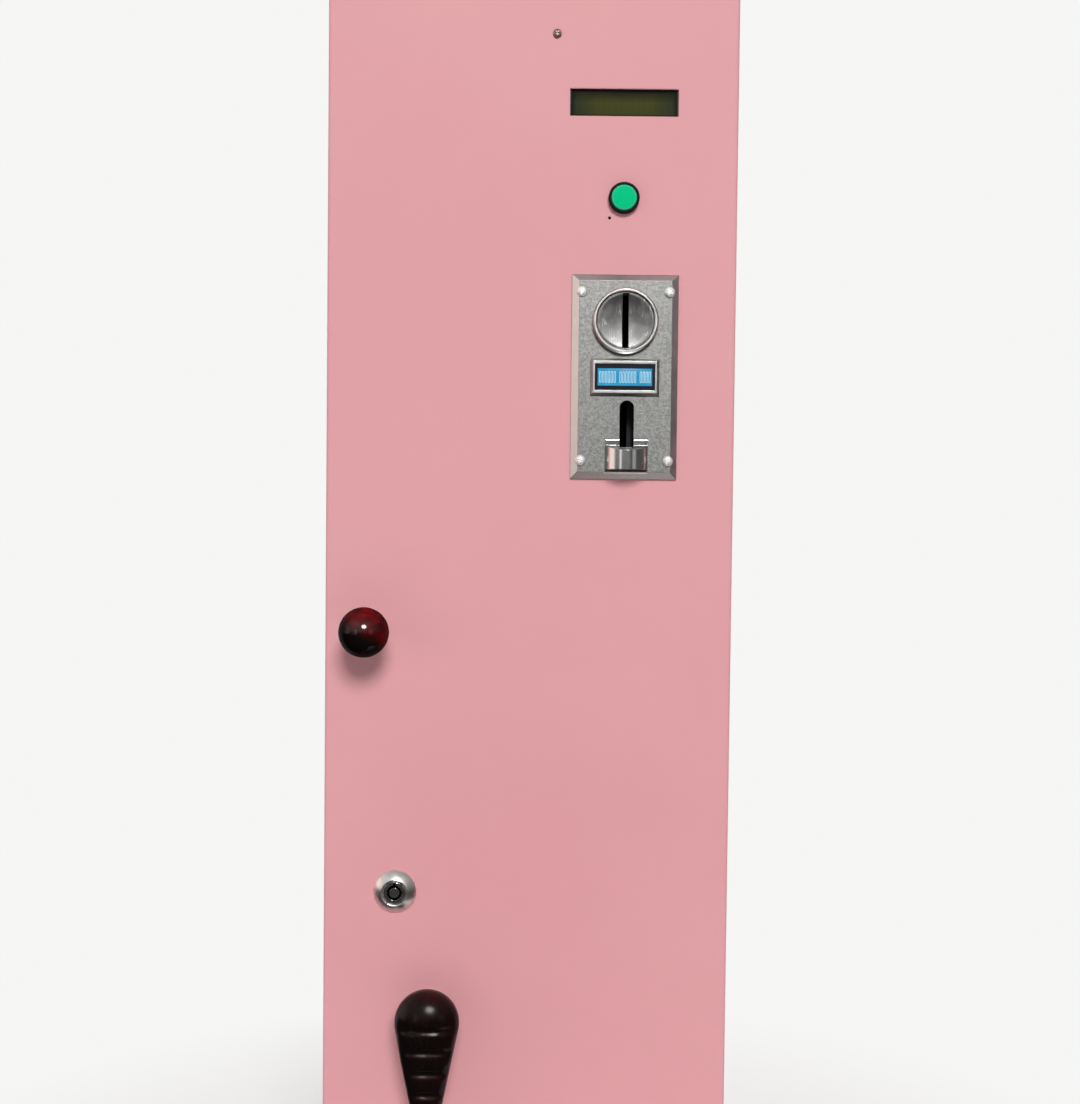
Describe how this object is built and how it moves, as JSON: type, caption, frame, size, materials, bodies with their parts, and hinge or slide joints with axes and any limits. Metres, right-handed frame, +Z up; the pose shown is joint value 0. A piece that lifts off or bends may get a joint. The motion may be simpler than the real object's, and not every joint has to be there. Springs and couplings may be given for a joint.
{
  "type": "packet vending machine",
  "caption": "Narrow pink steel vending cabinet with coin acceptor, text display, push button, ball knob, lock, turn handle and outlet flap; its door opens on a packet column with a pusher.",
  "frame": {"origin": "middle of the cabinet's underside", "axes": "+Z up, -Y out of the door's face, +X to the right as seen from the front"},
  "size_m": [0.2543, 0.234, 0.9],
  "materials": {
    "pink_paint": "semi-gloss powder coat",
    "zinc_sheet": "zinc-plated sheet",
    "bright_steel": "bright zinc",
    "dark_screw": "dull zinc",
    "chrome": "polished",
    "silver_cast": "sparkling silver texture",
    "brushed_flap": "brushed",
    "motor_metal": "satin",
    "case_aluminium": "satin",
    "display_metal": "satin black",
    "dark_gloss": "polished",
    "black_plastic": "satin",
    "grey_plastic": "matte",
    "green_cap": "gloss",
    "display_glass": "gloss",
    "small_display": "gloss, lit from behind",
    "board_green": "solder mask",
    "nylon": "natural",
    "blade_brass": "bright",
    "red_rocker": "gloss",
    "buffer_rubber": "matte"
  },
  "bodies": {
    "cabinet": {"cabinet_wrap": "pink_paint", "cabinet_top": "pink_paint", "cabinet_base": "pink_paint", "hinge_brackets": "zinc_sheet", "hinge_pins": "bright_steel", "door_buffers": "buffer_rubber", "packet_column": "zinc_sheet", "column_brackets": "zinc_sheet", "magazine_bed": "zinc_sheet", "rack_rails": "nylon", "gear_motor": "motor_metal", "delivery_chute": "zinc_sheet", "cash_shelf": "zinc_sheet", "power_supply": "case_aluminium", "terminal_block": "black_plastic", "control_board": "board_green", "board_parts": "grey_plastic", "board_spacers": "bright_steel", "mains_inlet": "black_plastic", "inlet_blades": "blade_brass", "fixing_screws": "bright_steel"},
    "door": {"door_panel": "pink_paint", "earth_screw": "dark_screw", "display_board": "board_green", "display_frame": "display_metal", "display_glass": "display_glass", "display_spacers": "bright_steel", "button_barrel": "black_plastic", "button_nut": "black_plastic", "switch_block": "grey_plastic", "acceptor_plate": "silver_cast", "acceptor_screws": "bright_steel", "acceptor_display": "small_display", "acceptor_body": "grey_plastic", "coin_chute": "zinc_sheet", "knob_stud": "bright_steel", "ball_knob": "dark_gloss", "knob_nut": "bright_steel", "lock_barrel": "chrome", "lock_nut": "bright_steel", "handle_rose": "chrome", "rose_nut": "bright_steel", "outlet_frame": "black_plastic", "flap_rod": "bright_steel", "retrieval_tray": "zinc_sheet"},
    "cash_box": {"cash_box": "zinc_sheet"},
    "pusher": {"pusher": "nylon"},
    "pinion": {"pinion": "nylon", "motor_shaft": "bright_steel"},
    "power_rocker": {"power_rocker": "red_rocker"},
    "button": {"button_cap": "green_cap"},
    "coin_entry": {"coin_entry": "chrome"},
    "lock": {"lock_plug": "chrome", "lock_cam": "bright_steel", "cam_nut": "bright_steel"},
    "latch": {"turn_handle": "dark_gloss", "handle_spindle": "bright_steel", "latch_tongue": "bright_steel", "tongue_nut": "bright_steel"},
    "flap": {"outlet_flap": "brushed_flap"}
  },
  "joints": [
    {"name": "door_swing", "type": "hinge", "parent": "cabinet", "child": "door", "pos_m": [0.1195, -0.0805, 0.45], "axis": [0, 0, 1], "range_deg": [0, 105]},
    {"name": "lock_turn", "type": "hinge", "parent": "door", "child": "lock", "pos_m": [-0.0807, -0.095, 0.309], "axis": [0, -1, 0], "range_deg": [0, 90]},
    {"name": "handle_turn", "type": "hinge", "parent": "door", "child": "latch", "pos_m": [-0.0586, -0.095, 0.2355], "axis": [0, -1, 0], "range_deg": [0, 90]},
    {"name": "button_press", "type": "slide", "parent": "door", "child": "button", "axis": [0, 1, 0], "range_m": [0, 0.0025], "stiffness_N_per_m": 400, "springref_m": -0.002},
    {"name": "coin_entry_press", "type": "slide", "parent": "door", "child": "coin_entry", "axis": [0, 1, 0], "range_m": [0, 0.003], "stiffness_N_per_m": 600, "springref_m": -0.002},
    {"name": "flap_swing", "type": "hinge", "parent": "door", "child": "flap", "pos_m": [0, -0.0896, 0.113], "axis": [1, 0, 0], "range_deg": [0, 60]},
    {"name": "pusher_slide", "type": "slide", "parent": "cabinet", "child": "pusher", "axis": [0, -1, 0], "range_m": [0, 0.062]},
    {"name": "pinion_turn", "type": "hinge", "parent": "cabinet", "child": "pinion", "pos_m": [0.05825, 0.0186, 0.265], "axis": [0, 0, 1], "range_deg": [0, 320]},
    {"name": "cash_box_slide", "type": "slide", "parent": "cabinet", "child": "cash_box", "axis": [0, -1, 0], "range_m": [0, 0.022]},
    {"name": "rocker_tip", "type": "hinge", "parent": "cabinet", "child": "power_rocker", "pos_m": [-0.126, 0.05, 0.1035], "axis": [0, 1, 0], "range_deg": [0, 16]}
  ],
  "couplings": [
    {"joint": "pinion_turn", "follows": "pusher_slide", "rad_per_m": 88.889}
  ]
}
